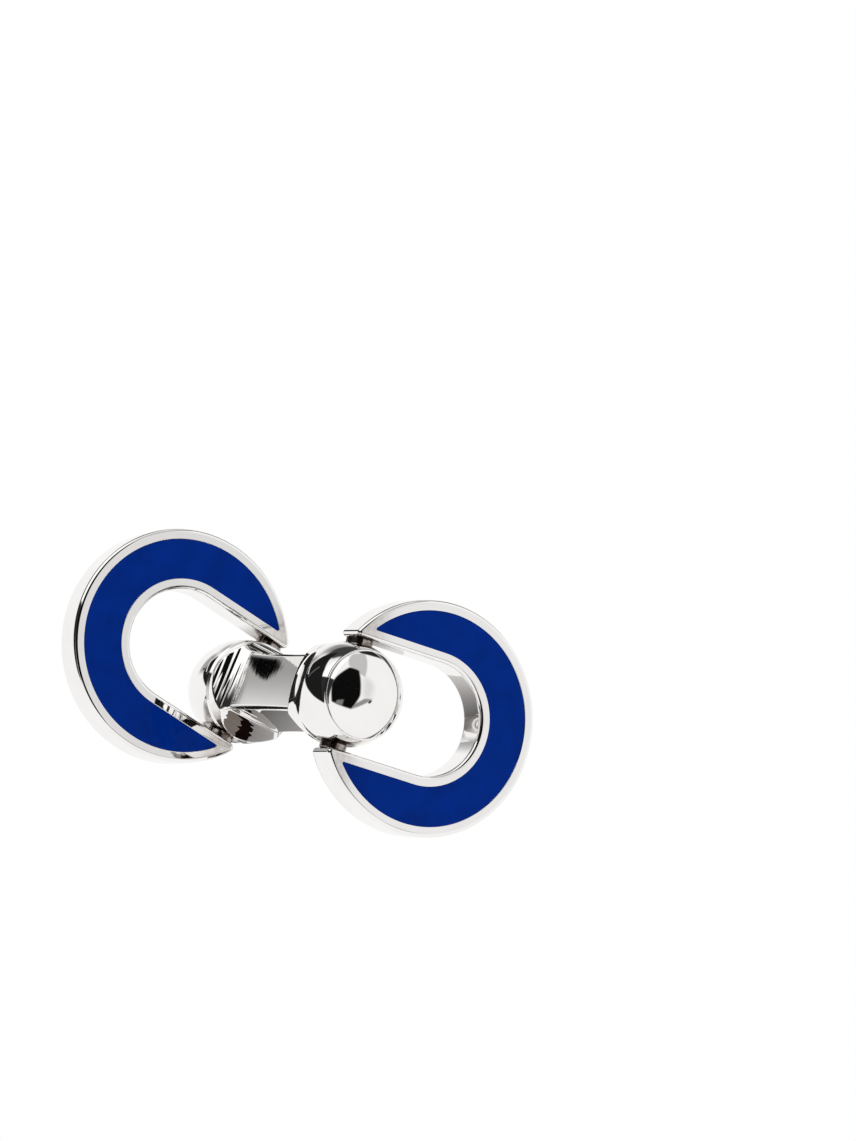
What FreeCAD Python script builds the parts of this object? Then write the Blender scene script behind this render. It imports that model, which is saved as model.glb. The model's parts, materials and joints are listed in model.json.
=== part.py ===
import FreeCAD, Part
import math
import os

Vector = FreeCAD.Vector
Rotation = FreeCAD.Rotation
Placement = FreeCAD.Placement

# A double-ended cufflink: a square bar, a knuckle at each end, and an open ring that swings on each knuckle.
# Millimetres and degrees. The bar lies along X with its middle at the origin, and the pins are near upright.

# Open ring and its enamel
ring_diameter = 16.6
ring_thickness = 2.8
front_edge_round = 0.12
back_edge_round = 0.12
tip_round = 0.26
mouth_margin = 1.16
rim_width = 0.75
enamel_depth = 0.45
enamel_drop = 0.04
enamel_tip_round = 0.1

# Knuckle: a barrel with a lip at its outer end and a stem at its inner end
ball_diameter = 7.4
ball_curve = 5.4
ball_front = 2.45
rear_wall = 0.3
rear_bevel = 0.15
lip_width = 0.22
lip_height = 0.3
spot_face_diameter = 2.7
cavity_diameter = 4.4
stem_diameter = 2.4
stem_length = 3.2
stem_bevel = 0.2

# End cap, brake and pivot
dome_height = 1.35
cap_edge = 0.08
cap_plug_depth = 0.5
cap_seat_width = 0.3
pin_diameter = 1.2
pad_length = 1.1
spring_thickness = 0.3
spring_hole_diameter = 2.0
spacer_diameter = 1.9
spacer_thickness = 0.55

# Link bar and the snap rings that hold the stems in it
link_length = 14.0
bar_width = 4.36
bar_bevel = 0.14
flare_radius = 1.6
collar_land = 0.25
collar_bevel = 0.1
collar_inset = 0.03
snap_ring_width = 0.4
snap_ring_wall = 0.5
snap_ring_place = 1.6
snap_ring_gap_angle = 50.0

# Clearances
ball_clearance = 0.3
side_play = 0.03
pin_clearance = 0.02
stem_clearance = 0.03
turn_gap = 0.06
pad_clearance = 0.05
floor_gap = 0.15
seam_gap = 0.05
bore_end_room = 0.2

# How the ends stand: turn of the knuckle about the bar, and swing of the ring from straight out
knuckle_turn_angle = 7.8
right_ring_angle = 86.0
left_ring_angle = -82.0

# Sizes that follow from the ones above
ring_radius = ring_diameter / 2
half_slot = ball_diameter / 2 + ball_clearance
pivot_offset = math.sqrt(ring_radius ** 2 - half_slot ** 2) - mouth_margin
front_face = -ring_thickness / 2
ball_radius = ball_diameter / 2
pin_radius = pin_diameter / 2
spot_face_height = half_slot - spacer_thickness - side_play
cavity_floor = -pin_radius - floor_gap
ball_rear = cavity_floor - rear_wall
stem_radius = stem_diameter / 2
stem_end = ball_rear - stem_length
cavity_radius = cavity_diameter / 2
plug_radius = cavity_radius + cap_seat_width
plug_face = ball_front - cap_plug_depth
pad_front = pin_radius / 4 + pad_length
bar_half = link_length / 2 + ball_rear - turn_gap
snap_ring_middle = bar_half - snap_ring_place
snap_ring_inside = stem_radius - snap_ring_wall / 2
groove_radius = snap_ring_inside - stem_clearance


def ball_radius_at(x):
    """Radius of the barrel at a distance x outwards from the pivot."""
    return ball_radius - ball_curve + math.sqrt(ball_curve ** 2 - x ** 2)


lip_radius = ball_radius_at(ball_front - lip_height) - lip_width
cap_radius = lip_radius - seam_gap
collar_radius = ball_radius_at(ball_rear) - collar_inset


def rod_x(start, end, radius):
    """Round rod along X."""
    return Part.makeCylinder(radius, end - start, Vector(start, 0, 0), Vector(1, 0, 0))


def rod_z(start, end, radius, x=0.0):
    """Round rod along Z."""
    return Part.makeCylinder(radius, end - start, Vector(x, 0, start), Vector(0, 0, 1))


def line(first, second):
    return Part.makeLine(Vector(*first, 0), Vector(*second, 0))


def arc(first, middle, last):
    return Part.Arc(Vector(*first, 0), Vector(*middle, 0), Vector(*last, 0)).toShape()


def turned(edges):
    """Solid of revolution about X from a closed half profile of (x, radius) edges."""
    return Part.Face(Part.Wire(edges)).revolve(Vector(0, 0, 0), Vector(1, 0, 0), 360)


def polygon_turned(points):
    """Solid of revolution about X from a closed half profile of (x, radius) corners."""
    return turned([line(a, b) for a, b in zip(points, points[1:] + points[:1])])


def slotted_disc(radius, half_width, start, end, corner):
    """Disc with a parallel-sided slot from its middle out through one side, its two tips rounded."""
    mouth = pivot_offset - math.sqrt(radius ** 2 - half_width ** 2)
    upper, lower = Vector(mouth, start, half_width), Vector(mouth, start, -half_width)
    upper_end = Vector(pivot_offset, start, half_width)
    lower_end = Vector(pivot_offset, start, -half_width)
    edges = [
        Part.Arc(upper, Vector(pivot_offset + radius, start, 0), lower).toShape(),
        Part.makeLine(lower, lower_end),
        Part.Arc(lower_end, Vector(pivot_offset + half_width, start, 0), upper_end).toShape(),
        Part.makeLine(upper_end, upper),
    ]
    plate = Part.Face(Part.Wire(edges)).extrude(Vector(0, end - start, 0))
    tips = [edge for edge in plate.Edges if abs(edge.CenterOfMass.x - mouth) < 0.01]
    return plate.makeFillet(corner, tips)


def edges_at(shape, y):
    """Edges that lie wholly in the plane at y."""
    flat = [edge for edge in shape.Edges if edge.BoundBox.YLength < 0.001]
    return [edge for edge in flat if abs(edge.BoundBox.YMin - y) < 0.001]


def ring_blank():
    blank = slotted_disc(ring_radius, half_slot, front_face, -front_face, tip_round)
    blank = blank.makeFillet(back_edge_round, edges_at(blank, -front_face))
    return blank.makeFillet(front_edge_round, edges_at(blank, front_face))


def enamel_shape(top):
    outer = ring_radius - rim_width
    inner = half_slot + rim_width
    return slotted_disc(outer, inner, front_face + top, front_face + enamel_depth, enamel_tip_round)


def make_ring():
    """Open ring: a slot for the knuckle, a recess for the enamel and a hole in each tip for the pin."""
    return ring_blank().cut(enamel_shape(0.0)).cut(rod_z(-ring_radius, ring_radius, pin_radius))


def make_enamel():
    return enamel_shape(enamel_drop)


def make_pivot_pin():
    """Pin through both tips, its ends finished flush with the ring's round outside."""
    whole = rod_z(-ring_radius, ring_radius, pin_radius)
    centre = Vector(pivot_offset, front_face, 0)
    outside = Part.makeCylinder(ring_radius, ring_thickness, centre, Vector(0, 1, 0))
    return whole.common(outside)


def make_spacer(side):
    """Washer between a tip and the flat on the knuckle."""
    start, end = sorted((side * (half_slot - spacer_thickness), side * half_slot))
    return rod_z(start, end, spacer_diameter / 2).cut(rod_z(start, end, pin_radius + pin_clearance))


def make_ball():
    """Barrel knuckle: hollow for the brake, bored for the pin, flat under the tips, a grooved stem behind."""
    bevel_x = ball_rear + rear_bevel
    lip_x = ball_front - lip_height
    rear_edge = (bevel_x, ball_radius_at(bevel_x))
    lip_edge = (lip_x, ball_radius_at(lip_x))
    ball = turned([
        line((ball_rear, 0), (ball_rear, rear_edge[1] - rear_bevel)),
        line((ball_rear, rear_edge[1] - rear_bevel), rear_edge),
        arc(rear_edge, (0, ball_radius), lip_edge),
        line(lip_edge, (ball_front, lip_radius)),
        line((ball_front, lip_radius), (ball_front, 0)),
        line((ball_front, 0), (ball_rear, 0)),
    ])
    stem = polygon_turned([
        (stem_end, 0),
        (stem_end, stem_radius - stem_bevel),
        (stem_end + stem_bevel, stem_radius),
        (ball_rear, stem_radius),
        (ball_rear, 0),
    ])
    groove_middle = ball_rear - turn_gap - snap_ring_place
    groove_half = snap_ring_width / 2 + stem_clearance
    groove_start, groove_end = groove_middle - groove_half, groove_middle + groove_half
    groove = rod_x(groove_start, groove_end, ball_radius).cut(rod_x(groove_start, groove_end, groove_radius))
    ball = ball.fuse(stem).cut(groove)
    ball = ball.cut(rod_x(cavity_floor, ball_front, cavity_radius))
    ball = ball.cut(rod_x(plug_face, ball_front, plug_radius))
    ball = ball.cut(rod_z(-ball_radius, ball_radius, pin_radius + pin_clearance))
    for side in (-1, 1):
        start, end = sorted((side * spot_face_height, side * ring_radius))
        ball = ball.cut(rod_z(start, end, spot_face_diameter / 2))
    return ball.removeSplitter()


def make_end_cap():
    """Dome with a plug that presses into the mouth of the knuckle's cavity."""
    edge_x = ball_front + cap_edge
    top_x = edge_x + dome_height
    dome_radius = (cap_radius ** 2 + dome_height ** 2) / (2 * dome_height)
    dome_centre = top_x - dome_radius
    middle = math.asin(cap_radius / dome_radius) / 2
    return turned([
        line((plug_face, 0), (plug_face, plug_radius)),
        line((plug_face, plug_radius), (ball_front, plug_radius)),
        line((ball_front, plug_radius), (ball_front, cap_radius)),
        line((ball_front, cap_radius), (edge_x, cap_radius)),
        arc(
            (edge_x, cap_radius),
            (dome_centre + dome_radius * math.cos(middle), dome_radius * math.sin(middle)),
            (top_x, 0),
        ),
        line((top_x, 0), (plug_face, 0)),
    ])


def make_brake_pad():
    """Plug with a saddle that bears on the pivot pin."""
    pad = rod_x(pin_radius / 4, pad_front, cavity_radius - pad_clearance)
    return pad.cut(rod_z(-ball_radius, ball_radius, pin_radius + pin_clearance))


def make_disc_spring():
    """Conical washer pressed between the brake pad and the end cap."""
    outside = cavity_radius - 2 * pad_clearance
    inside = spring_hole_diameter / 2
    return polygon_turned([
        (pad_front, outside),
        (pad_front + spring_thickness, outside),
        (plug_face, inside),
        (plug_face - spring_thickness, inside),
    ])


def make_face_cutter(height):
    """What is milled away above a flat of the bar: straight along the middle, sweeping up to the collars."""
    rise = collar_radius - height
    sweep = math.sqrt(flare_radius ** 2 - (flare_radius - rise) ** 2)
    flat_half = bar_half - collar_land - sweep
    wide = 4 * collar_radius
    tall = 2 * flare_radius
    cutter = Part.makeBox(2 * flat_half, wide, tall, Vector(-flat_half, -wide / 2, height))
    for x in (-flat_half, flat_half):
        centre = Vector(x, -wide / 2, height + flare_radius)
        cutter = cutter.fuse(Part.makeCylinder(flare_radius, wide, centre, Vector(0, 1, 0)))
    return cutter


def make_link_bar():
    """Square bar with bevelled corners, round collars and a grooved socket in each end."""
    bar = polygon_turned([
        (-bar_half, 0),
        (-bar_half, collar_radius - collar_bevel),
        (-bar_half + collar_bevel, collar_radius),
        (bar_half - collar_bevel, collar_radius),
        (bar_half, collar_radius - collar_bevel),
        (bar_half, 0),
    ])
    corner_height = bar_width / 2 * math.sqrt(2) - bar_bevel
    for quarter in range(4):
        for height, angle in ((bar_width / 2, 90 * quarter), (corner_height, 90 * quarter + 45)):
            cutter = make_face_cutter(height)
            cutter.rotate(Vector(0, 0, 0), Vector(1, 0, 0), angle)
            bar = bar.cut(cutter)
    bore_depth = stem_length - turn_gap + bore_end_room
    groove_outside = snap_ring_inside + snap_ring_wall
    for side in (-1, 1):
        bore_start, bore_end = sorted((side * (bar_half - bore_depth), side * bar_half))
        bar = bar.cut(rod_x(bore_start, bore_end, stem_radius + stem_clearance))
        middle = side * snap_ring_middle
        bar = bar.cut(rod_x(middle - snap_ring_width / 2, middle + snap_ring_width / 2, groove_outside))
    return bar.removeSplitter()


def make_snap_ring():
    """C-ring that sits in the bar's groove and reaches into the stem's groove."""
    middle = ball_rear - turn_gap - snap_ring_place
    start = middle - snap_ring_width / 2
    face = Part.makeCylinder(
        snap_ring_inside + snap_ring_wall,
        snap_ring_width,
        Vector(start, 0, 0),
        Vector(1, 0, 0),
        360 - snap_ring_gap_angle,
    )
    return face.cut(rod_x(start, start + snap_ring_width, snap_ring_inside))


def knuckle_place(side):
    """Where an end's pieces stand: X outwards, Z along the pivot pin."""
    turn = Placement(Vector(0, 0, 0), Rotation(Vector(1, 0, 0), knuckle_turn_angle))
    if side == "right":
        return Placement(Vector(link_length / 2, 0, 0), Rotation()).multiply(turn)
    return Placement(Vector(-link_length / 2, 0, 0), Rotation(Vector(0, 1, 0), 180)).multiply(turn)


def ring_place(side):
    """Where a swung ring and the pieces that move with it stand."""
    angle = right_ring_angle if side == "right" else left_ring_angle
    swing = Placement(Vector(0, 0, 0), Rotation(Vector(0, 0, 1), angle))
    return knuckle_place(side).multiply(swing)


def save(node, shape, place):
    placed = shape.transformed(place.toMatrix(), copy=True)
    placed.exportStep(f"parts/{node}.step")
    print(node, "solids", len(placed.Solids), "volume", round(placed.Volume, 3), "valid", placed.isValid())


os.makedirs("parts", exist_ok=True)
save("link_bar", make_link_bar(), Placement())
for side in ("left", "right"):
    save(f"{side}_snap_ring", make_snap_ring(), knuckle_place(side))
    save(f"{side}_ball", make_ball(), knuckle_place(side))
    save(f"{side}_end_cap", make_end_cap(), knuckle_place(side))
    save(f"{side}_brake_pad", make_brake_pad(), knuckle_place(side))
    save(f"{side}_disc_spring", make_disc_spring(), knuckle_place(side))
    save(f"{side}_ring", make_ring(), ring_place(side))
    save(f"{side}_enamel", make_enamel(), ring_place(side))
    save(f"{side}_pivot_pin", make_pivot_pin(), ring_place(side))
    save(f"{side}_upper_spacer", make_spacer(1 if side == "right" else -1), ring_place(side))
    save(f"{side}_lower_spacer", make_spacer(-1 if side == "right" else 1), ring_place(side))
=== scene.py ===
import bpy
import bmesh
import json
import math
from mathutils import Matrix, Vector


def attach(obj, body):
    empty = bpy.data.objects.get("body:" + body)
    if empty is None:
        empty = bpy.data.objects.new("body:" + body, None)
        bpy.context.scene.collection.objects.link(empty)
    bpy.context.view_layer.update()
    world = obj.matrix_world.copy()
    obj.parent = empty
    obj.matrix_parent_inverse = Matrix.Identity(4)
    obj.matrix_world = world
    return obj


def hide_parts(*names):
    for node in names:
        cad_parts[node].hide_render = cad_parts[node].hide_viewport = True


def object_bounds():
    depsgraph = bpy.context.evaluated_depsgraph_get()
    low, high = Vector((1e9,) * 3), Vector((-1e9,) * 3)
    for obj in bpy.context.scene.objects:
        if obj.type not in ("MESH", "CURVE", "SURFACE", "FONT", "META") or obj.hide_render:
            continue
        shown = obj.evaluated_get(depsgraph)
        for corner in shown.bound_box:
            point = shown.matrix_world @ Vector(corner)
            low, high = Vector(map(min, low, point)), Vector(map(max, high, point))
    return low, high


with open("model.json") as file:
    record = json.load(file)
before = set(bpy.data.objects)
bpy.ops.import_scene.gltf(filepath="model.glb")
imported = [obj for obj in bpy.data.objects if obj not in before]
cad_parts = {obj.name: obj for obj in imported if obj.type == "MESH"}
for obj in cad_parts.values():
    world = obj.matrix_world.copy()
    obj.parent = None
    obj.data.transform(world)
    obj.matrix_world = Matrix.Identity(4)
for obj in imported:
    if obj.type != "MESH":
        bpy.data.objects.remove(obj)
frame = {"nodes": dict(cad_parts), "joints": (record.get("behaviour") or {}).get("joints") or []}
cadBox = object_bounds()
mm = 0.001
sides = ("left", "right")
joints = {joint["name"]: joint for joint in frame["joints"]}
print("frame loaded:", len(frame["nodes"]), "nodes")


# where each end stands, read from its two joints: X outwards, Z along the pivot pin
def knucklePlace(side):
    outward = Vector(joints[f"{side}_knuckle_turn"]["axis"]).normalized()
    pin = Vector(joints[f"{side}_ring_swing"]["axis"]).normalized()
    lateral = pin.cross(outward)
    turn = Matrix((outward, lateral, pin)).transposed().to_4x4()
    return Matrix.Translation(Vector(joints[f"{side}_ring_swing"]["pos_m"])) @ turn


def ringPlace(side):
    low, high = joints[f"{side}_ring_swing"]["range_deg"]
    swing = -math.radians(low + high) / 2  # the middle of the range is straight out
    return knucklePlace(side) @ Matrix.Rotation(swing, 4, "Z")


def placedObject(name, mesh, place, material):
    mesh.transform(place)
    mesh.materials.clear()
    mesh.materials.append(material)
    piece = bpy.data.objects.new(name, mesh)
    bpy.context.scene.collection.objects.link(piece)
    return piece


# a mesh from loops of (point, normal) with equal counts; caps close the first and last loop
def meshFromLoops(name, loops, strips, caps):
    count = len(loops[0])
    points = [point for loop in loops for point, normal in loop]
    normals = [normal for loop in loops for point, normal in loop]
    faces = []
    for first, second in strips:
        for i in range(count):
            k = (i + 1) % count
            face = [first * count + i, first * count + k, second * count + k, second * count + i]
            faces.append(face)
    for loop in caps:
        faces.append([loop * count + i for i in range(count)])
    mesh = bpy.data.meshes.new(name)
    mesh.from_pydata([tuple(point * mm) for point in points], [], faces)
    flipped = []
    for polygon in mesh.polygons:
        facing = sum((normals[v] for v in polygon.vertices), Vector())
        if polygon.normal.dot(facing) < 0:
            flipped.append(polygon.index)
    if flipped:
        work = bmesh.new()
        work.from_mesh(mesh)
        work.faces.ensure_lookup_table()
        bmesh.ops.reverse_faces(work, faces=[work.faces[i] for i in flipped])
        work.to_mesh(mesh)
        work.free()
    mesh.shade_smooth()
    mesh.normals_split_custom_set_from_vertices([tuple(normal) for normal in normals])
    return mesh


# painted shade: silver darkened in the gaps and recesses between parts, where shade falls: an amount from 0
# to 1 on each point of a piece
def paintedShadeWhere(mesh, amountAt):
    layer = mesh.attributes.new("paintedShade", "FLOAT", "POINT")
    for vertex in mesh.vertices:
        layer.data[vertex.index].value = min(max(amountAt(vertex.co / mm), 0.0), 1.0)
    return mesh


# open ring and enamel, both slotted discs: u runs from the mouth to the crown, v along the pin
ringSizes = {
    "radius": 8.3, "thickness": 2.8, "halfSlot": 4.0, "mouthMargin": 1.16, "tipRound": 0.32,
    "frontRound": 0.3, "backRound": 0.5, "tipLeast": 0.02, "rimWidth": 0.75, "rimEdge": 0.05,
    "crownSteps": 180, "tipSteps": 14, "wallSteps": 40, "slotSteps": 90, "roundSteps": 8,
    # where the painted shade lies on the ring: it grows along u towards the mouth, on the slot walls and
    # fainter on the front at the tips
    "paintedShadeFrom": 2.6, "paintedShadeFull": 1.0, "tipPaintedShade": 0.45, "tipPaintedShadeFrom": 1.5, "tipPaintedShadeFull": 0.3,
    "wallSkin": 0.01,
}
enamelSizes = {
    "depth": 0.45, "drop": 0.04, "tipRound": 0.1, "meniscus": 0.025, "meniscusWidth": 0.09,
    "meniscusSteps": 6,
}
ringSizes["pivotOffset"] = (
    math.sqrt(ringSizes["radius"] ** 2 - ringSizes["halfSlot"] ** 2) - ringSizes["mouthMargin"]
)


def slottedOutline(radius, halfSlot, tipRound):
    s = ringSizes
    centre = s["pivotOffset"]
    tipV = halfSlot + tipRound
    tipU = centre - math.sqrt((radius - tipRound) ** 2 - tipV ** 2)
    tipAngle = math.atan2(tipV, tipU - centre)
    outline = []

    def arc(u, v, size, start, end, steps, inward=1):
        for i in range(steps):
            a = start + (end - start) * i / steps
            normal = (math.cos(a) * inward, math.sin(a) * inward)
            outline.append((u + size * math.cos(a), v + size * math.sin(a), *normal))

    def wall(start, end, v, normal):
        for i in range(s["wallSteps"]):
            outline.append((start + (end - start) * i / s["wallSteps"], v, 0.0, normal))

    arc(centre, 0, radius, tipAngle, -tipAngle, s["crownSteps"])
    arc(tipU, -tipV, tipRound, -tipAngle, -1.5 * math.pi, s["tipSteps"])
    wall(tipU, centre, -halfSlot, 1.0)
    arc(centre, 0, halfSlot, -0.5 * math.pi, 0.5 * math.pi, s["slotSteps"], -1)
    wall(centre, tipU, halfSlot, -1.0)
    arc(tipU, tipV, tipRound, -0.5 * math.pi, tipAngle - 2 * math.pi, s["tipSteps"])
    return outline


# outline of the recess in the ring and of the enamel in it, grown by an amount
def recessOutline(grow):
    s = ringSizes
    radius, halfSlot = s["radius"] - s["rimWidth"] + grow, s["halfSlot"] + s["rimWidth"] - grow
    return slottedOutline(radius, halfSlot, enamelSizes["tipRound"] + grow)


# one loop of the plate: tilt 0 faces out of the outline, +90 degrees to the back and -90 to the front
def plateLoop(outline, depth, tilt, flip=1):
    flat, steep = math.cos(tilt) * flip, math.sin(tilt)
    return [(Vector((u, depth, v)), Vector((flat * nu, steep, flat * nv))) for u, v, nu, nv in outline]


def ringMesh():
    s = ringSizes
    front, back = -s["thickness"] / 2, s["thickness"] / 2
    quarter = math.pi / 2
    bends = [quarter * i / s["roundSteps"] for i in range(s["roundSteps"] + 1)]
    loops = []

    def rim(grow, depth, tilt):
        loops.append(plateLoop(recessOutline(grow), depth, tilt, -1))

    def side(inset, depth, tilt):
        tipRound = max(s["tipRound"] - inset, s["tipLeast"])
        outline = slottedOutline(s["radius"] - inset, s["halfSlot"] + inset, tipRound)
        loops.append(plateLoop(outline, depth, tilt))

    floor = front + enamelSizes["depth"]
    rim(0, floor, -quarter)  # floor of the recess
    rim(0, floor, 0)
    for a in bends:
        rim(s["rimEdge"] * (1 - math.cos(a)), front + s["rimEdge"] * (1 - math.sin(a)), -a)
    for a in bends:
        side(s["frontRound"] * (1 - math.sin(a)), front + s["frontRound"] * (1 - math.cos(a)), a - quarter)
    for a in bends:
        side(s["backRound"] * (1 - math.cos(a)), back - s["backRound"] * (1 - math.sin(a)), a)
    strips = [(i, i + 1) for i in range(1, len(loops) - 1)]
    mesh = meshFromLoops("ring", loops, strips, [0, len(loops) - 1])

    # painted shade: darker silver on the slot walls near the mouth and, fainter, on the front rim at the tips
    def nearTips(point):
        if abs(point.z) <= s["halfSlot"] + s["wallSkin"]:  # walls of the slot
            return (s["paintedShadeFrom"] - point.x) / (s["paintedShadeFrom"] - s["paintedShadeFull"])
        if point.y > front + s["wallSkin"]:  # behind the front rim
            return 0.0
        share = (s["tipPaintedShadeFrom"] - point.x) / (s["tipPaintedShadeFrom"] - s["tipPaintedShadeFull"])
        return s["tipPaintedShade"] * min(share, 1.0)

    return paintedShadeWhere(mesh, nearTips)


def enamelMesh():
    e = enamelSizes
    front = -ringSizes["thickness"] / 2
    loops = []

    def ring(grow, depth, tilt, flip=1):
        loops.append(plateLoop(recessOutline(grow), depth, tilt, flip))

    ring(0, front + e["depth"], math.pi / 2)
    ring(0, front + e["depth"], 0)
    ring(0, front + e["drop"] - e["meniscus"], 0)
    for i in range(e["meniscusSteps"] + 1):
        t = i / e["meniscusSteps"]
        slope = 2 * e["meniscus"] * (1 - t) / e["meniscusWidth"]
        depth = front + e["drop"] - e["meniscus"] * (1 - t) ** 2
        lean = math.atan(slope)  # the edge climbs the wall, so its normal leans inwards
        ring(-t * e["meniscusWidth"], depth, lean - math.pi / 2, -1)
    strips = [(1, 2)] + [(i, i + 1) for i in range(3, len(loops) - 1)]
    return meshFromLoops("enamel", loops, strips, [0, len(loops) - 1])


# turned pieces: a node tree spins a half profile of (x, radius) about X
turning = {"weld": 0.0005, "sharpAngle": 24}


def turnTree():
    tree = bpy.data.node_groups.new("turnedPiece", "GeometryNodeTree")
    tree.interface.new_socket("Profile", in_out="INPUT", socket_type="NodeSocketGeometry")
    tree.interface.new_socket("Segments", in_out="INPUT", socket_type="NodeSocketInt")
    tree.interface.new_socket("Weld", in_out="INPUT", socket_type="NodeSocketFloat")
    tree.interface.new_socket("Finish", in_out="INPUT", socket_type="NodeSocketMaterial")
    tree.interface.new_socket("Piece", in_out="OUTPUT", socket_type="NodeSocketGeometry")
    nodes, links = tree.nodes, tree.links

    def node(kind, **settings):
        made = nodes.new(kind)
        for key, value in settings.items():
            setattr(made, key, value)
        return made

    def maths(operation, first, second=None):
        made = node("ShaderNodeMath", operation=operation)
        for socket, value in zip(made.inputs, (first, second)):
            if value is None:
                continue
            if isinstance(value, (int, float)):
                socket.default_value = value
            else:
                links.new(value, socket)
        return made.outputs[0]

    given = node("NodeGroupInput")
    size = node("GeometryNodeAttributeDomainSize", component="MESH")
    links.new(given.outputs["Profile"], size.inputs[0])
    around = maths("ADD", given.outputs["Segments"], 1)
    grid = node("GeometryNodeMeshGrid")
    links.new(size.outputs["Point Count"], grid.inputs["Vertices X"])
    links.new(around, grid.inputs["Vertices Y"])
    index = node("GeometryNodeInputIndex").outputs[0]
    along = maths("FLOOR", maths("DIVIDE", maths("ADD", index, 0.5), around))
    step = maths("SUBTRACT", index, maths("MULTIPLY", along, around))
    angle = maths("DIVIDE", maths("MULTIPLY", step, 2 * math.pi), given.outputs["Segments"])
    sample = node("GeometryNodeSampleIndex", data_type="FLOAT_VECTOR", domain="POINT")
    links.new(given.outputs["Profile"], sample.inputs["Geometry"])
    links.new(node("GeometryNodeInputPosition").outputs[0], sample.inputs["Value"])
    links.new(along, sample.inputs["Index"])
    parts = node("ShaderNodeSeparateXYZ")
    links.new(sample.outputs[0], parts.inputs[0])
    place = node("ShaderNodeCombineXYZ")
    links.new(parts.outputs["X"], place.inputs["X"])
    links.new(maths("MULTIPLY", parts.outputs["Y"], maths("COSINE", angle)), place.inputs["Y"])
    links.new(maths("MULTIPLY", parts.outputs["Y"], maths("SINE", angle)), place.inputs["Z"])
    spin = node("GeometryNodeSetPosition")
    links.new(grid.outputs["Mesh"], spin.inputs["Geometry"])
    links.new(place.outputs[0], spin.inputs["Position"])
    weld = node("GeometryNodeMergeByDistance")
    links.new(spin.outputs[0], weld.inputs["Geometry"])
    links.new(given.outputs["Weld"], weld.inputs["Distance"])
    smooth = node("GeometryNodeSetShadeSmooth")
    links.new(weld.outputs[0], smooth.inputs["Geometry"])
    whole = node("GeometryNodeRealizeInstances")
    links.new(smooth.outputs[0], whole.inputs["Geometry"])
    coat = node("GeometryNodeSetMaterial")
    links.new(whole.outputs[0], coat.inputs["Geometry"])
    links.new(given.outputs["Finish"], coat.inputs["Material"])
    done = node("NodeGroupOutput")
    links.new(coat.outputs[0], done.inputs[0])
    return tree


def turnedMesh(name, profile, segments, material, tree, cuts=()):
    mesh = bpy.data.meshes.new(name)
    points = [(x * mm, r * mm, 0) for x, r in profile]
    mesh.from_pydata(points, [(i, i + 1) for i in range(len(points) - 1)], [])
    lathe = bpy.data.objects.new(name, mesh)
    bpy.context.scene.collection.objects.link(lathe)
    spin = lathe.modifiers.new("turn", "NODES")
    spin.node_group = tree
    given = {"Segments": segments, "Weld": turning["weld"] * mm, "Finish": material}
    for item in tree.interface.items_tree:
        if item.item_type == "SOCKET" and item.name in given:
            spin[item.identifier] = given[item.name]
    for cutter in cuts:
        cut = lathe.modifiers.new("cut", "BOOLEAN")
        cut.operation = "DIFFERENCE"
        cut.solver = "EXACT"
        cut.object = cutter
    done = bpy.data.meshes.new_from_object(lathe.evaluated_get(bpy.context.evaluated_depsgraph_get()))
    bpy.data.objects.remove(lathe)
    work = bmesh.new()
    work.from_mesh(done)
    bmesh.ops.recalc_face_normals(work, faces=work.faces)
    work.to_mesh(done)
    work.free()
    done.shade_smooth()
    done.set_sharp_from_angle(angle=math.radians(turning["sharpAngle"]))
    return done


ballSizes = {
    "radius": 3.7, "curve": 5.4, "front": 2.45, "rear": -1.05, "rearBevel": 0.15, "lipWidth": 0.1,
    "lipHeight": 0.12, "lipSteps": 8, "seamDepth": 0.06, "curveSteps": 60, "segments": 240,
    "spotRadius": 1.35, "spotHeight": 3.42, "spotReach": 1, "spotSegments": 128,
    "spotPaintedShadeFrom": 0.02, "spotPaintedShadeFade": 0.01,
}
capSizes = {
    "seamGap": 0.025, "seat": 0.04, "edge": 0.03, "edgeRound": 0.08, "edgeSteps": 6, "domeHeight": 1.37,
    "domeSteps": 48, "segments": 240,
}
spacerSizes = {"radius": 0.95, "hole": 0.62, "inner": 3.45, "outer": 4.0, "bevel": 0.05, "segments": 96}
pinSizes = {"radius": 0.6, "half": 4.6, "segments": 64}


def ballRadiusAt(x):
    s = ballSizes
    return s["radius"] - s["curve"] + math.sqrt(s["curve"] ** 2 - x ** 2)


def ballProfile():
    s = ballSizes
    start = s["rear"] + s["rearBevel"]
    end = s["front"] - s["lipHeight"]
    profile = [(s["rear"], 0), (s["rear"], ballRadiusAt(start) - s["rearBevel"])]
    for i in range(s["curveSteps"] + 1):
        x = start + (end - start) * i / s["curveSteps"]
        profile.append((x, ballRadiusAt(x)))
    lip = ballRadiusAt(end) - s["lipWidth"]
    for i in range(1, s["lipSteps"] + 1):
        a = 0.5 * math.pi * i / s["lipSteps"]
        profile.append((end + s["lipHeight"] * math.sin(a), lip + s["lipWidth"] * math.cos(a)))
    return profile + [(s["front"] - s["seamDepth"], lip), (s["front"] - s["seamDepth"], 0)]


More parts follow.
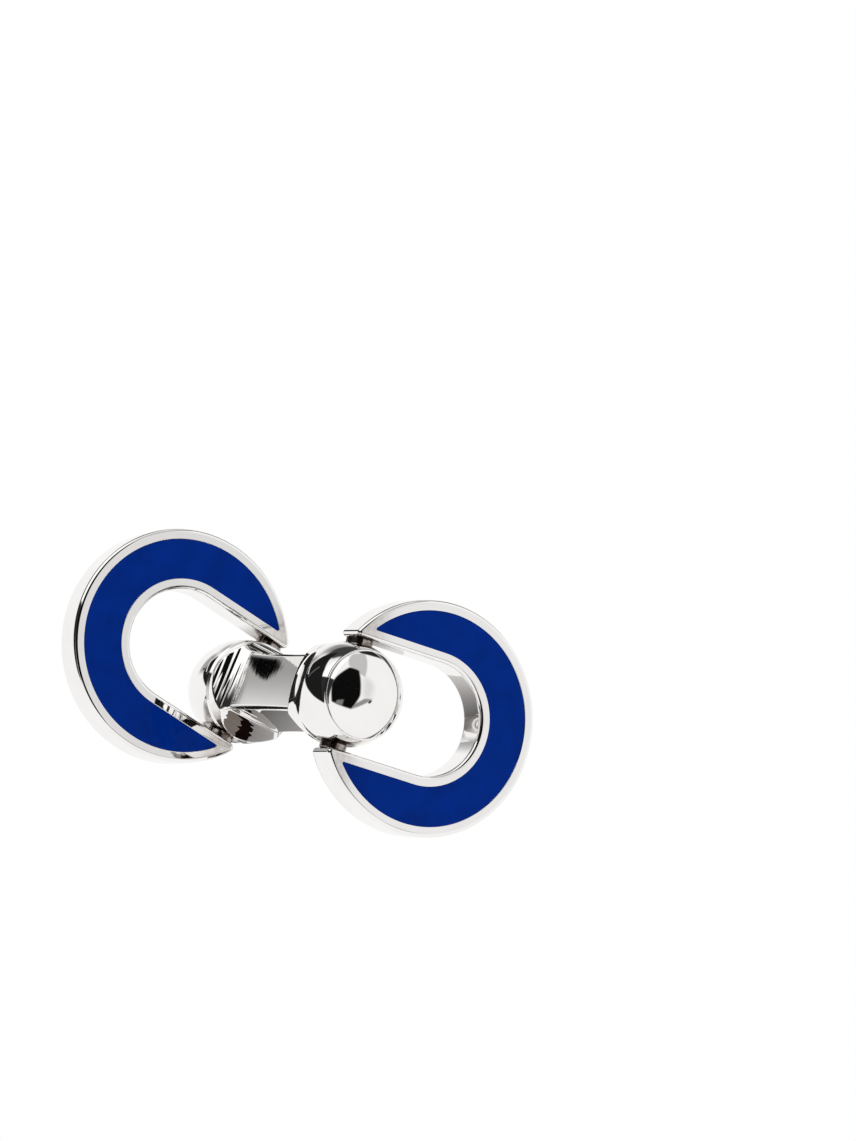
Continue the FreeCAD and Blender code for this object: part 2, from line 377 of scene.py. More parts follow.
def capProfile():
    b, c = ballSizes, capSizes
    base = ballRadiusAt(b["front"] - b["lipHeight"]) - b["lipWidth"] - c["seamGap"]
    edge = b["front"] + c["edge"]
    widest = 2 * math.atan(c["domeHeight"] / base)
    bend = base - c["edgeRound"]
    domeRadius = (bend + c["edgeRound"] * math.sin(widest)) / math.sin(widest)
    centre = edge + (c["edgeRound"] - domeRadius) * math.cos(widest)
    seat = b["front"] - c["seat"]
    profile = [(seat, 0), (seat, base)]
    for i in range(c["edgeSteps"]):
        a = 0.5 * math.pi + (widest - 0.5 * math.pi) * i / c["edgeSteps"]
        profile.append((edge + c["edgeRound"] * math.cos(a), bend + c["edgeRound"] * math.sin(a)))
    for i in range(c["domeSteps"] + 1):
        a = widest * (1 - i / c["domeSteps"])
        profile.append((centre + domeRadius * math.cos(a), domeRadius * math.sin(a)))
    return profile


def spacerProfile():
    s = spacerSizes
    inner, outer, r, bevel = s["inner"], s["outer"], s["radius"], s["bevel"]
    ring = [(inner, s["hole"]), (inner, r - bevel), (inner + bevel, r)]
    return ring + [(outer - bevel, r), (outer, r - bevel), (outer, s["hole"]), (inner, s["hole"])]


def pinProfile():
    s = pinSizes
    return [(-s["half"], 0), (-s["half"], s["radius"]), (s["half"], s["radius"]), (s["half"], 0)]


def spotCutter(sign):
    s = ballSizes
    mesh = bpy.data.meshes.new("spotCutter")
    work = bmesh.new()
    radius = s["spotRadius"] * mm
    height = s["radius"] - s["spotHeight"] + s["spotReach"]
    middle = Matrix.Translation((0, 0, sign * (s["spotHeight"] + height / 2) * mm))
    bmesh.ops.create_cone(
        work, cap_ends=True, segments=s["spotSegments"], radius1=radius, radius2=radius, depth=height * mm,
        matrix=middle,
    )
    work.to_mesh(mesh)
    work.free()
    cutter = bpy.data.objects.new("spotCutter", mesh)
    bpy.context.scene.collection.objects.link(cutter)
    return cutter


# link bar: at each x the section is an octagon inside a circle, and its flats sweep up to the collars
barSizes = {
    "half": 5.89, "width": 4.36, "bevel": 0.2, "flare": 1.586, "flarePower": 1.35, "collarLand": 0.25,
    "collarBevel": 0.1, "collarInset": 0.03, "bore": 1.23, "boreDepth": 3.34, "blend": 0.07,
    "dish": 0.16, "crown": 0.06, "ripples": 4.6, "rippleHeight": 0.012, "rippleLean": 0.3, "edgeRipple": 0.2,
    "rippleFade": 1.1, "rippleFadePower": 0.5, "rippleGrowth": 2, "crossRipples": 1.7, "crossLean": 2.4,
    "crossPhase": 1.3, "crossHeight": 0.45, "facingLeast": 0.5, "slopeStep": 0.002,
    "around": 256, "alongFlat": 80, "alongFlare": 110,
}
barSizes["collar"] = ballRadiusAt(ballSizes["rear"]) - barSizes["collarInset"]
barSizes["climb"] = barSizes["collar"] - barSizes["width"] / 2


# the buff leaves shallow uneven ripples across each flare, fading at its edges
def flareRipple(share, across):
    s = barSizes
    fadeAlong = math.sin(math.pi * min(share * s["rippleFade"], 1.0)) ** s["rippleFadePower"]
    fade = fadeAlong * max(1 - (across / s["width"] * 2) ** 2, 0.0)
    lean = s["rippleLean"] * across / s["width"]
    wave = math.sin(2 * math.pi * (s["ripples"] * share + lean))
    crossTurns = s["crossRipples"] * s["ripples"] * share - s["crossLean"] * lean
    cross = math.sin(2 * math.pi * crossTurns + s["crossPhase"])
    return s["rippleHeight"] * fade * (wave + s["crossHeight"] * cross) * (1 + s["rippleGrowth"] * share)


def flatHeight(x, across, ripple):
    s = barSizes
    height = s["width"] / 2 + s["dish"] * (x / s["half"]) ** 2  # a little hollow along the bar
    share = (abs(x) - s["half"] + s["collarLand"]) / s["flare"] + 1
    if share <= 0:
        return height
    return height + s["climb"] * share ** s["flarePower"] + ripple * flareRipple(min(share, 1.0), across)


def barRadius(x, angle):
    s = barSizes
    radius = s["collar"]
    toEnd = s["half"] - abs(x)
    if toEnd < s["collarBevel"]:
        radius -= s["collarBevel"] - toEnd
    for k in range(8):  # four flats and the bevelled corners between them
        turn = angle - k * math.pi / 4
        facing = math.cos(turn)
        if facing < s["facingLeast"]:
            continue
        if k % 2:
            height = flatHeight(x, 0, 0) * math.sqrt(2) - s["bevel"]
        else:
            lean = math.tan(turn)
            ripple = s["edgeRipple"] if k % 4 else 1
            crown = s["crown"] * lean ** 2  # a little round across
            height = flatHeight(x, s["width"] / 2 * lean, ripple) - crown
        other = height / facing
        near = max(s["blend"] - abs(radius - other), 0) / s["blend"]
        radius = min(radius, other) - near * near * s["blend"] / 4  # soft minimum rounds the edges
    return radius


def barMesh():
    s = barSizes
    loops = []

    def ringAt(x, radius, normal):
        loop = []
        for i in range(s["around"]):
            a = 2 * math.pi * i / s["around"]
            out = Vector((0, math.cos(a), math.sin(a)))
            loop.append((Vector((x, 0, 0)) + out * radius, Vector((normal[0], 0, 0)) + out * normal[1]))
        loops.append(loop)

    def skinAt(x):
        loop = []
        d = s["slopeStep"]
        inside = max(-s["half"] + d, min(s["half"] - d, x))
        for i in range(s["around"]):
            a = 2 * math.pi * i / s["around"]
            r = barRadius(x, a)
            slopeX = (barRadius(inside + d, a) - barRadius(inside - d, a)) / (2 * d)
            slopeA = (barRadius(x, a + d) - barRadius(x, a - d)) / (2 * d)
            out = Vector((0, math.cos(a), math.sin(a)))
            along = Vector((0, -math.sin(a), math.cos(a)))
            normal = out - along * (slopeA / r) - Vector((slopeX, 0, 0))
            loop.append((Vector((x, 0, 0)) + out * r, normal.normalized()))
        loops.append(loop)

    deep = s["half"] - s["boreDepth"]
    edge = barRadius(s["half"], 0)
    ringAt(-deep, s["bore"], (-1, 0))
    ringAt(-deep, s["bore"], (0, -1))
    ringAt(-s["half"], s["bore"], (0, -1))
    ringAt(-s["half"], s["bore"], (-1, 0))
    ringAt(-s["half"], edge, (-1, 0))
    flareStart = s["half"] - s["collarLand"] - s["flare"]
    flareEnd = s["half"] - s["collarBevel"]
    quarter = [math.sin(0.5 * math.pi * i / s["alongFlare"]) for i in range(1, s["alongFlare"] + 1)]
    outwards = [flareStart + (flareEnd - flareStart) * step for step in quarter] + [s["half"]]
    inwards = [flareStart * (2 * i / s["alongFlat"] - 1) for i in range(s["alongFlat"] + 1)]
    for x in [-x for x in reversed(outwards)] + inwards + outwards:
        skinAt(x)
    ringAt(s["half"], edge, (1, 0))
    ringAt(s["half"], s["bore"], (1, 0))
    ringAt(s["half"], s["bore"], (0, -1))
    ringAt(deep, s["bore"], (0, -1))
    ringAt(deep, s["bore"], (1, 0))
    last = len(loops) - 1
    strips = [(1, 2), (3, 4)] + [(i, i + 1) for i in range(5, last - 5)]
    strips += [(last - 4, last - 3), (last - 2, last - 1)]
    return meshFromLoops("bar", loops, strips, [0, last])


# shader groups shared by the finishes
def shaderGroup(name, inputs, outputs):
    group = bpy.data.node_groups.new(name, "ShaderNodeTree")
    for socket in inputs:
        group.interface.new_socket(socket, in_out="INPUT", socket_type="NodeSocketFloat")
    for socket in outputs:
        group.interface.new_socket(socket, in_out="OUTPUT", socket_type="NodeSocketFloat")
    given = group.nodes.new("NodeGroupInput")
    result = group.nodes.new("NodeGroupOutput")
    return group, given, result


def linked(nodes, links, kind, values, **settings):
    made = nodes.new(kind)
    for key, value in settings.items():
        setattr(made, key, value)
    for socket, value in values.items():
        if isinstance(value, bpy.types.NodeSocket):
            links.new(value, made.inputs[socket])
        else:
            made.inputs[socket].default_value = value
    return made


# object coordinates come in metres
def placeInMm(nodes, links):
    place = nodes.new("ShaderNodeTexCoord").outputs["Object"]
    grown = linked(nodes, links, "ShaderNodeVectorMath", {0: place, 1: (1 / mm,) * 3}, operation="MULTIPLY")
    return grown.outputs[0]


polishNoise = {"cloudDetail": 3.0, "cloudRoughness": 0.55, "lineDetail": 2.0, "lineRoughness": 0.6}


# slow clouds in the polish, and fine lines left by the buff: both run from 0 to 1
def polishGroup():
    s = polishNoise
    taken = ("Cloud Scale", "Line Scale", "Line Stretch")
    group, given, result = shaderGroup("polishMarks", taken, ("Cloud", "Lines"))
    nodes, links = group.nodes, group.links
    place = placeInMm(nodes, links)
    cloud = linked(nodes, links, "ShaderNodeTexNoise", {
        "Vector": place, "Scale": given.outputs["Cloud Scale"], "Detail": s["cloudDetail"],
        "Roughness": s["cloudRoughness"],
    })
    shrink = linked(nodes, links, "ShaderNodeMath", {
        0: 1.0, 1: given.outputs["Line Stretch"],
    }, operation="DIVIDE").outputs[0]
    stretch = linked(nodes, links, "ShaderNodeCombineXYZ", {"X": 1.0, "Y": shrink, "Z": shrink})
    drawn = linked(nodes, links, "ShaderNodeVectorMath", {
        0: place, 1: stretch.outputs[0],
    }, operation="MULTIPLY")
    lines = linked(nodes, links, "ShaderNodeTexNoise", {
        "Vector": drawn.outputs[0], "Scale": given.outputs["Line Scale"], "Detail": s["lineDetail"],
        "Roughness": s["lineRoughness"],
    })
    links.new(cloud.outputs[0], result.inputs["Cloud"])
    links.new(lines.outputs[0], result.inputs["Lines"])
    return group


silverLook = {
    "light": (0.94, 0.93, 0.918, 1), "dull": (0.90, 0.887, 0.872, 1), "smooth": 0.018, "rough": 0.04,
    "cloudScale": 0.35, "lineScale": 3.2, "lineStretch": 7.0, "lineHeight": 0.0011,
    # painted shade: the dark brown colour and rougher finish put where the painted shade amount is
    "paintedShade": (0.20, 0.155, 0.13, 1), "paintedShadeRough": 0.22, "paintedShadeScale": 2.6,
}
barLook = {**silverLook, "lineScale": 3.4, "lineStretch": 14.0, "lineHeight": 0.0013}
enamelLook = {
    "light": (0.0001, 0.0285, 0.288, 1), "deep": (0.0001, 0.022, 0.218, 1), "smooth": 0.03, "rough": 0.085,
    "cloudScale": 0.55, "lineScale": 2.4, "lineStretch": 1.0, "lineHeight": 0.0009, "specular": 0.03,
    "mirrored": (0.022, 0.0215, 0.022, 1),
}
steelLook = {
    "light": (0.78, 0.77, 0.75, 1), "dull": (0.62, 0.61, 0.60, 1), "smooth": 0.1, "rough": 0.24,
    "cloudScale": 0.8, "lineScale": 9.0, "lineStretch": 12.0, "lineHeight": 0.0012,
}
padLook = {
    "light": (0.8, 0.79, 0.74, 1), "deep": (0.74, 0.73, 0.68, 1), "smooth": 0.42, "rough": 0.6,
    "cloudScale": 1.5, "lineScale": 14.0, "lineStretch": 1.0, "lineHeight": 0.006, "specular": 0.4,
}


paintedShadeNoise = {"detail": 3.0, "roughness": 0.6, "from": 0.25, "full": 0.6, "least": 0.45}


# how much of the painted shade shows: the amount on the piece, broken up by fine clouds
def paintedShadeGroup():
    s = paintedShadeNoise
    group, given, result = shaderGroup("paintedShadeMask", ("Amount", "Scale"), ("Mask",))
    nodes, links = group.nodes, group.links
    cloud = linked(nodes, links, "ShaderNodeTexNoise", {
        "Vector": placeInMm(nodes, links), "Scale": given.outputs["Scale"], "Detail": s["detail"],
        "Roughness": s["roughness"],
    })
    patchy = linked(nodes, links, "ShaderNodeMapRange", {
        "Value": cloud.outputs[0], "From Min": s["from"], "From Max": s["full"], "To Min": s["least"],
        "To Max": 1.0,
    })
    mask = linked(nodes, links, "ShaderNodeMath", {
        0: given.outputs["Amount"], 1: patchy.outputs[0],
    }, operation="MULTIPLY")
    links.new(mask.outputs[0], result.inputs["Mask"])
    return group


def mixedColour(nodes, links, factor, first, second):
    mix = linked(nodes, links, "ShaderNodeMix", {0: factor, 6: first, 7: second}, data_type="RGBA")
    return mix.outputs[2]


marksFrom, marksTo = 0.3, 0.7  # the part of a noise's range that is used


def finish(name, look, metallic):
    material = bpy.data.materials.new(name)
    material.use_nodes = True
    nodes, links = material.node_tree.nodes, material.node_tree.links
    shader = nodes["Principled BSDF"]
    marks = nodes.new("ShaderNodeGroup")
    marks.node_tree = polish
    marks.inputs["Cloud Scale"].default_value = look["cloudScale"]
    marks.inputs["Line Scale"].default_value = look["lineScale"]
    marks.inputs["Line Stretch"].default_value = look["lineStretch"]
    shades = linked(nodes, links, "ShaderNodeValToRGB", {"Fac": marks.outputs["Cloud"]})
    shades.color_ramp.elements[0].position = marksFrom
    shades.color_ramp.elements[0].color = look["light"]
    shades.color_ramp.elements[1].position = marksTo
    shades.color_ramp.elements[1].color = look["dull" if metallic else "deep"]
    gloss = linked(nodes, links, "ShaderNodeMapRange", {
        "Value": marks.outputs["Lines"], "From Min": marksFrom, "From Max": marksTo,
        "To Min": look["smooth"], "To Max": look["rough"],
    })
    bump = linked(nodes, links, "ShaderNodeBump", {
        "Height": marks.outputs["Lines"], "Distance": look["lineHeight"] * mm, "Strength": 1.0,
    })
    colour, roughness = shades.outputs["Color"], gloss.outputs[0]
    # painted shade: darker, rougher silver where the piece's painted shade amount says shade falls
    if "paintedShade" in look:
        shadeMaskNode = nodes.new("ShaderNodeGroup")
        shadeMaskNode.node_tree = paintedShade
        amount = linked(nodes, links, "ShaderNodeAttribute", {}, attribute_name="paintedShade")
        links.new(amount.outputs["Fac"], shadeMaskNode.inputs["Amount"])
        shadeMaskNode.inputs["Scale"].default_value = look["paintedShadeScale"]
        colour = mixedColour(nodes, links, shadeMaskNode.outputs["Mask"], colour, look["paintedShade"])
        roughness = linked(nodes, links, "ShaderNodeMix", {
            "Factor": shadeMaskNode.outputs["Mask"], "A": roughness, "B": look["paintedShadeRough"],
        }).outputs["Result"]
    # painted reflection: to mirror rays the enamel shows a neutral grey instead of its blue, so nearby silver
    # reflects no blue
    if "mirrored" in look:  # the metal beside the enamel stays neutral
        mirrored = nodes.new("ShaderNodeLightPath").outputs["Is Glossy Ray"]
        colour = mixedColour(nodes, links, mirrored, colour, look["mirrored"])
    links.new(colour, shader.inputs["Base Color"])
    links.new(roughness, shader.inputs["Roughness"])
    links.new(bump.outputs["Normal"], shader.inputs["Normal"])
    shader.inputs["Metallic"].default_value = metallic
    if not metallic:
        shader.inputs["Specular IOR Level"].default_value = look["specular"]
    return material


polish = polishGroup()
paintedShade = paintedShadeGroup()
silver = finish("polishedSilver", silverLook, 1)
barSilver = finish("buffedBarSilver", barLook, 1)
enamel = finish("blueEnamel", enamelLook, 0)
steel = finish("pinSteel", steelLook, 1)
plastic = finish("brakePlastic", padLook, 0)
print("finishes made")

tree = turnTree()
cutters = [spotCutter(sign) for sign in (-1, 1)]


# painted shade on the ball's spot faces, in the gaps where the spacers sit
def spotPaintedShade(point):
    s = ballSizes
    return (abs(point.z) - s["spotHeight"] + s["spotPaintedShadeFrom"]) / s["spotPaintedShadeFade"]


def makeEnd(side):
    knuckle, ring = knucklePlace(side), ringPlace(side)
    upright = Matrix.Rotation(-math.pi / 2, 4, "Y")  # turns a profile's X to the pin's Z
    ballPiece = turnedMesh("ball", ballProfile(), ballSizes["segments"], silver, tree, cutters)
    paintedShadeWhere(ballPiece, spotPaintedShade)
    capPiece = turnedMesh("cap", capProfile(), capSizes["segments"], silver, tree)
    pinPiece = turnedMesh("pin", pinProfile(), pinSizes["segments"], silver, tree)
    made = [
        ("ball", ballPiece, knuckle, silver, "knuckle"),
        ("end_cap", capPiece, knuckle, silver, "knuckle"),
        ("ring", ringMesh(), ring, silver, "ring"),
        ("enamel", enamelMesh(), ring, enamel, "ring"),
        ("pivot_pin", pinPiece, ring @ upright, steel, "ring"),
    ]
    flip = Matrix.Rotation(math.pi, 4, "X")
    upper, lower = (ring, ring @ flip) if side == "right" else (ring @ flip, ring)
    for name, place in (("upper_spacer", upper), ("lower_spacer", lower)):
        washer = turnedMesh("washer", spacerProfile(), spacerSizes["segments"], silver, tree)
        # painted shade all over the spacers, in the gaps between the ring tips and the ball
        paintedShadeWhere(washer, lambda point: 1.0)
        made.append((name, washer, place @ upright, silver, "ring"))
    for name, mesh, place, material, body in made:
        piece = placedObject(f"{side}_{name}_skin", mesh, place, material)
        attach(piece, f"{side}_{body}")
        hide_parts(f"{side}_{name}")


for side in sides:
    makeEnd(side)
for cutter in cutters:
    bpy.data.objects.remove(cutter)
bar = placedObject("link_bar_skin", barMesh(), Matrix.Identity(4), barSilver)
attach(bar, "link")
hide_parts("link_bar")
solidFinish = {  # what the CAD solids wear, and silver for the others
    "snap_ring": steel, "disc_spring": steel, "pivot_pin": steel, "brake_pad": plastic, "enamel": enamel,
}
for name, node in frame["nodes"].items():
    node.data.materials.clear()
    node.data.materials.append(solidFinish.get(name.split("_", 1)[1], silver))
print("pieces made")

# camera as fitted to the photograph
cameraView = {
    "place": (0.4256609, -0.2364641, -0.0986836), "aim": (0.0050108, 0.0036836, 0.0111382), "roll": 21.0494,
    "lens": 222.808, "sensor": 36, "clipStart": 0.01, "clipEnd": 10,
}


def makeCamera():
    data = bpy.data.cameras.new("camera")
    data.lens = cameraView["lens"]
    data.sensor_width = cameraView["sensor"]
    data.clip_start = cameraView["clipStart"]
    data.clip_end = cameraView["clipEnd"]
    camera = bpy.data.objects.new("camera", data)
    bpy.context.scene.collection.objects.link(camera)
    place, aim = Vector(cameraView["place"]), Vector(cameraView["aim"])
    look = (aim - place).to_track_quat("-Z", "Y").to_matrix().to_4x4()
    roll = Matrix.Rotation(math.radians(cameraView["roll"]), 4, "Z")
    camera.matrix_world = Matrix.Translation(place) @ look @ roll
    bpy.context.scene.camera = camera


# what the mirror faces show: white all round, and dark or grey cards with corners in degrees of azimuth and
# elevation; soft is the half width of an edge
studioCards = {
    "softbox": {"corners": [(-62, 10.5), (-60, 62), (-114, 62), (-112, 10.5)], "soft": 1.5, "shade": 1.2},
    "frontPale": {"corners": [(22, 0), (22, 30), (-5, 36), (2, 2), (12, -4)], "soft": 9, "shade": 0.77},
    "topGrey": {
        "corners": [(3, 34), (-14, 38), (-46, 46), (-58, 58), (-70, 74), (60, 83), (12, 70)], "soft": 2,
        "shade": 0.56,
    },
    "tableEdge": {"corners": [(27, 3), (19, -8), (-4, -34), (-3, -20), (10, -3)], "soft": 2.5, "shade": 0.3},
    "tableSpot": {"corners": [(27, 0), (22, -1), (20, -7), (25, -7)], "soft": 1.2, "shade": 0.02},
    "cameraSide": {
        "corners": [(-18, 44), (-42, 44), (-60, 13), (-62, 0), (-53, -33), (-4, -33), (0, -3)], "soft": 2.2,
        "shade": 0.004,
    },
    "cameraFoot": {"corners": [(-28, -22), (-41, -27), (-44, -34), (-27, -34)], "soft": 2, "shade": 0.2},
    "lowerSide": {"corners": [(-60, -40), (-60, 9), (-114, 9), (-106, -38)], "soft": 1.5, "shade": 0.025},
    "sideGrey": {"corners": [(-144, 9), (-150, 32), (-163, 32), (-160, 9)], "soft": 4, "shade": 0.36},
    "farGrey": {"corners": [(-154, 34), (-156, 60), (170, 60), (170, 38)], "soft": 6, "shade": 0.3},
    "farDark": {
        "corners": [(-124, 42), (-120, 64), (168, 66), (165, 50), (-168, 47), (-150, 36)], "soft": 4,
        "shade": 0.05,
    },
    "slantedSide": {
        "corners": [(-104, -38), (-147.3, 9), (-147.3, 40), (-140, 60), (-131, 58), (-113, 22), (-103, 4)],
        "soft": 1, "shade": 0.012,
    },
    "sideStreak": {"corners": [(-139, 10), (-141, 10), (-152, 26), (-149, 26)], "soft": 0.8, "shade": 0.8},
    "greyStreak": {"corners": [(-136, 6), (-138, 7), (-128, 24), (-125, 22)], "soft": 0.8, "shade": 0.1},
    "flatPatch": {
        "corners": [
            (-147.9, 14.4), (-148.3, 13), (-149.1, 12.1), (-150.6, 11.4), (-152.6, 13), (-152.4, 14.1),
        ],
        "soft": 0.25, "shade": 0.002,
    },
    "overhead": {
        "corners": [(130, 38), (114, 41), (102, 61), (87, 72), (60, 82), (-30, 86), (-110, 84), (150, 70)],
        "soft": 2, "shade": 0.02,
    },
}
studioLight = {
    "around": 0.96, "diffuse": 0.72, "lamp": 0.5, "lampSize": 0.25, "lampPlace": (0.1, -0.12, 0.42),
}


def towards(azimuth, elevation):
    azimuth, elevation = math.radians(azimuth), math.radians(elevation)
    flat = math.cos(elevation)
    return Vector((flat * math.cos(azimuth), flat * math.sin(azimuth), math.sin(elevation)))


# a card's edge is a plane through the object, so its mask is smooth across the angle to that plane
def edgeGroup():
    group = bpy.data.node_groups.new("cardEdge", "ShaderNodeTree")
    for name in ("Direction", "Inwards"):
        group.interface.new_socket(name, in_out="INPUT", socket_type="NodeSocketVector")
    for name in ("Soft", "Before"):
        group.interface.new_socket(name, in_out="INPUT", socket_type="NodeSocketFloat")
    group.interface.new_socket("Mask", in_out="OUTPUT", socket_type="NodeSocketFloat")
    nodes, links = group.nodes, group.links
    given = nodes.new("NodeGroupInput").outputs
    room = linked(nodes, links, "ShaderNodeVectorMath", {
        0: given["Direction"], 1: given["Inwards"],
    }, operation="DOT_PRODUCT")
    outer = linked(nodes, links, "ShaderNodeMath", {0: given["Soft"], 1: -1.0}, operation="MULTIPLY")
    inside = linked(nodes, links, "ShaderNodeMapRange", {
        "Value": room.outputs["Value"], "From Min": outer.outputs[0], "From Max": given["Soft"],
    }, interpolation_type="SMOOTHSTEP")
    both = linked(nodes, links, "ShaderNodeMath", {
        0: inside.outputs[0], 1: given["Before"],
    }, operation="MULTIPLY")
    links.new(both.outputs[0], nodes.new("NodeGroupOutput").inputs["Mask"])
    return group


def cardMask(nodes, links, direction, card, group):
    corners = [towards(*corner) for corner in card["corners"]]
    middle = sum(corners, Vector())
    mask = 1.0
    for first, second in zip(corners, corners[1:] + corners[:1]):
        inwards = first.cross(second).normalized()
        if inwards.dot(middle) < 0:
            inwards.negate()
        edge = nodes.new("ShaderNodeGroup")
        edge.node_tree = group
        links.new(direction, edge.inputs["Direction"])
        edge.inputs["Inwards"].default_value = inwards
        edge.inputs["Soft"].default_value = math.sin(math.radians(card["soft"]))
        if isinstance(mask, float):
            edge.inputs["Before"].default_value = mask
        else:
            links.new(mask, edge.inputs["Before"])
        mask = edge.outputs["Mask"]
    return mask


def makeWorld():
    world = bpy.data.worlds.new("studio")
    world.use_nodes = True
    bpy.context.scene.world = world
    nodes, links = world.node_tree.nodes, world.node_tree.links
    direction = nodes.new("ShaderNodeTexCoord").outputs["Generated"]
    group = edgeGroup()
    shade = studioLight["around"]
    for card in studioCards.values():
        shade = linked(nodes, links, "ShaderNodeMix", {
            "Factor": cardMask(nodes, links, direction, card, group), "A": shade, "B": card["shade"],
        }).outputs["Result"]
    path = nodes.new("ShaderNodeLightPath").outputs
    mirrored = linked(nodes, links, "ShaderNodeMath", {
        0: path["Is Glossy Ray"], 1: path["Is Transmission Ray"],
    }, operation="MAXIMUM")
    indirect = linked(nodes, links, "ShaderNodeMix", {
        "Factor": mirrored.outputs[0], "A": studioLight["diffuse"], "B": shade,
    })
    seen = linked(nodes, links, "ShaderNodeMix", {
        "Factor": path["Is Camera Ray"], "A": indirect.outputs["Result"], "B": 1.0,
    })
    links.new(seen.outputs["Result"], nodes["Background"].inputs["Strength"])
    nodes["Background"].inputs["Color"].default_value = (1, 1, 1, 1)


# small glowing cards beside the part that only the mirror faces see, painted reflections: dark strips for the
# shade under the bar and grey cards behind; corners in mm with a shade each, and their tint
nearCards = {
    "backCard": {
        "tint": (1, 0.97, 0.96),
        "corners": [
            ((-9, 2.8, -8), 0.13), ((-9, 13, -8), 0.62),
            ((-9, 13, 1.5), 0.62), ((-9, 2.8, 1.5), 0.13),
        ],
    },
    "backCardTop": {
        "tint": (1, 0.98, 0.97),
        "corners": [
            ((-9, 2.8, 1.5), 0.13), ((-9, 13, 1.5), 0.62),
            ((-9, 13, 4.5), 0.9), ((-9, 2.8, 4.5), 0.9),
        ],
    },
    # painted reflection: these dark strips under and beside the bar stand in for the shade under the part
    "underStrip": {
        "tint": (1, 0.5, 0.4),
        "corners": [
            ((-6.1, 1.8, -6.5), 0.006), ((1.8, 5.4, -6.5), 0.006),
            ((2.2, 4.4, -6.5), 0.006), ((-5.7, 0.8, -6.5), 0.006),
        ],
    },
    "lowerEdge": {
        "tint": (1, 0.8, 0.72),
        "corners": [
            ((-5.2, -2.5, -2.6), 0.01), ((2.6, -2.5, -2.6), 0.01),
            ((2.6, -2.5, -3.3), 0.01), ((-5.2, -2.5, -3.3), 0.01),
        ],
    },
    "underGrey": {
        "tint": (1, 0.96, 0.95),
        "corners": [
            ((-7.3, 4.5, -6.5), 0.42), ((0.6, 8.1, -6.5), 0.5),
            ((1.8, 5.4, -6.5), 0.24), ((-6.1, 1.8, -6.5), 0.24),
        ],
    },
    "underPanel": {
        "tint": (1, 0.86, 0.76),
        "corners": [
            ((-5.7, 0.8, -6.5), 0.15), ((2.2, 4.4, -6.5), 0.3),
            ((2.8, 3.2, -6.5), 0.3), ((-5.1, -0.4, -6.5), 0.15),
        ],
    },
}
nearCardRoom = 0.8  # a ring swung into a card doesn't show it where they touch


def makeNearCard(name, card):
    mesh = bpy.data.meshes.new(name)
    corners = [tuple(Vector(place) * mm) for place, shade in card["corners"]]
    mesh.from_pydata(corners, [], [list(range(len(corners)))])
    layer = mesh.attributes.new("shade", "FLOAT", "POINT")
    for index, (place, shade) in enumerate(card["corners"]):
        layer.data[index].value = shade
    material = bpy.data.materials.new(name)
    material.use_nodes = True
    nodes, links = material.node_tree.nodes, material.node_tree.links
    shade = linked(nodes, links, "ShaderNodeAttribute", {}, attribute_name="shade")
    glow = linked(nodes, links, "ShaderNodeEmission", {
        "Color": (*card["tint"], 1), "Strength": shade.outputs["Fac"],
    })
    length = nodes.new("ShaderNodeLightPath").outputs["Ray Length"]
    touching = linked(nodes, links, "ShaderNodeMath", {
        0: length, 1: nearCardRoom * mm,
    }, operation="LESS_THAN")
    clear = nodes.new("ShaderNodeBsdfTransparent")
    shown = linked(nodes, links, "ShaderNodeMixShader", {
        0: touching.outputs[0], 1: glow.outputs[0], 2: clear.outputs[0],
    })
    links.new(shown.outputs[0], nodes["Material Output"].inputs["Surface"])
    mesh.materials.append(material)
    piece = bpy.data.objects.new(name, mesh)
    bpy.context.scene.collection.objects.link(piece)
    piece.visible_camera = False
    piece.visible_diffuse = False
    piece.visible_shadow = False


# one-sided floor, low enough for a ring turned over: seen from above, it lets the camera look up through it
floorLook = {
    "radius": 0.6, "gap": 0.0002, "segments": 96, "light": (0.86, 0.855, 0.85, 1),
    "dull": (0.83, 0.825, 0.82, 1), "scale": 45.0, "detail": 4.0, "rough": 0.55, "specular": 0.2,
}


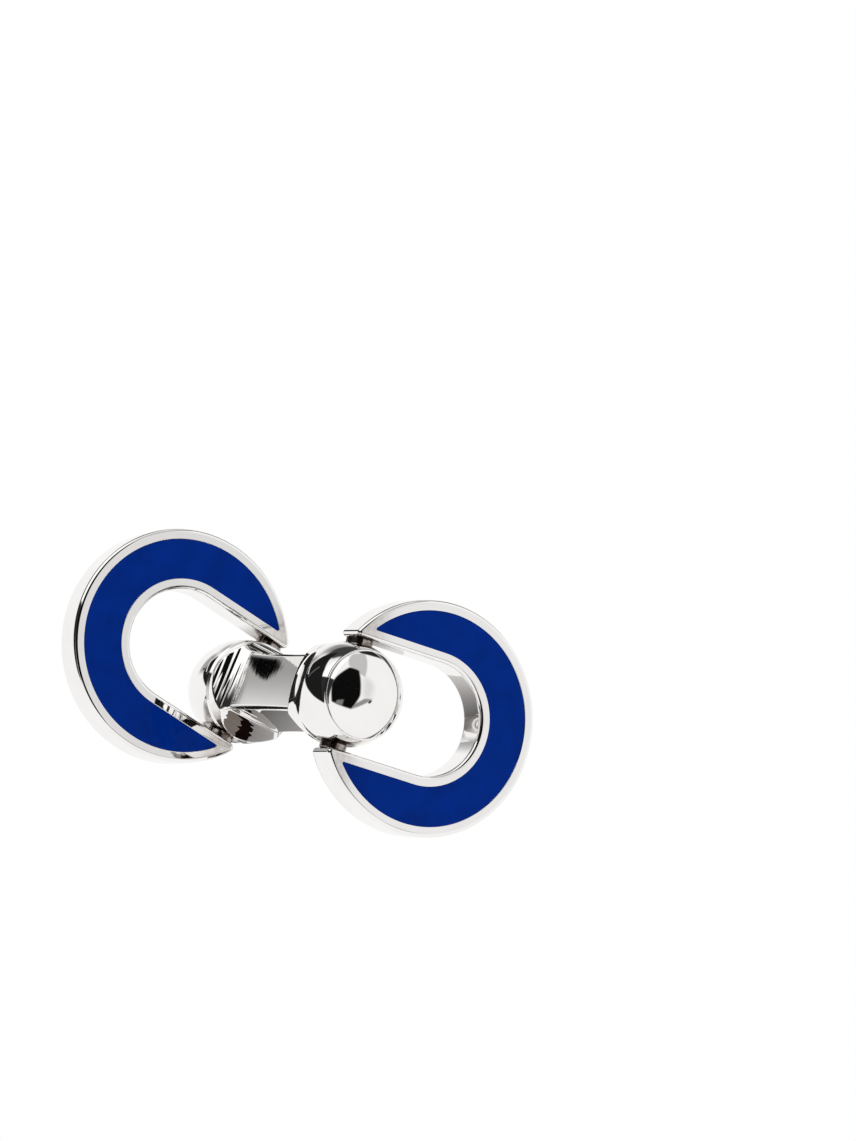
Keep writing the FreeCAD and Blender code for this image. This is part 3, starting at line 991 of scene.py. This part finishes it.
def makeFloor():
    s = floorLook
    mesh = bpy.data.meshes.new("floor")
    work = bmesh.new()
    height = -max(-cadBox[0][2], cadBox[1][2]) - s["gap"]
    middle = Matrix.Translation((0, 0, height))
    bmesh.ops.create_circle(work, cap_ends=True, segments=s["segments"], radius=s["radius"], matrix=middle)
    work.to_mesh(mesh)
    work.free()
    floor = bpy.data.objects.new("floor", mesh)
    bpy.context.scene.collection.objects.link(floor)
    material = bpy.data.materials.new("paleFloor")
    material.use_nodes = True
    nodes, links = material.node_tree.nodes, material.node_tree.links
    shader = nodes["Principled BSDF"]
    place = nodes.new("ShaderNodeTexCoord").outputs["Object"]
    grain = linked(nodes, links, "ShaderNodeTexNoise", {
        "Vector": place, "Scale": s["scale"], "Detail": s["detail"],
    })
    shades = linked(nodes, links, "ShaderNodeValToRGB", {"Fac": grain.outputs[0]})
    shades.color_ramp.elements[0].color = s["light"]
    shades.color_ramp.elements[1].color = s["dull"]
    links.new(shades.outputs["Color"], shader.inputs["Base Color"])
    shader.inputs["Roughness"].default_value = s["rough"]
    shader.inputs["Specular IOR Level"].default_value = s["specular"]
    below = nodes.new("ShaderNodeNewGeometry").outputs["Backfacing"]
    clear = nodes.new("ShaderNodeBsdfTransparent")
    sided = linked(nodes, links, "ShaderNodeMixShader", {0: below, 1: shader.outputs[0], 2: clear.outputs[0]})
    links.new(sided.outputs[0], nodes["Material Output"].inputs["Surface"])
    mesh.materials.append(material)
    floor.visible_glossy = False


def makeLamp():
    data = bpy.data.lights.new("topLamp", "AREA")
    data.shape = "DISK"
    data.size = studioLight["lampSize"]
    data.energy = studioLight["lamp"]
    lamp = bpy.data.objects.new("topLamp", data)
    bpy.context.scene.collection.objects.link(lamp)
    lamp.location = studioLight["lampPlace"]
    lamp.rotation_euler = (-lamp.location).to_track_quat("-Z", "Y").to_euler()
    lamp.visible_glossy = False


makeCamera()
makeWorld()
for name, card in nearCards.items():
    makeNearCard(name, card)
makeFloor()
makeLamp()
bpy.context.scene.view_settings.view_transform = "Standard"
print("studio made")
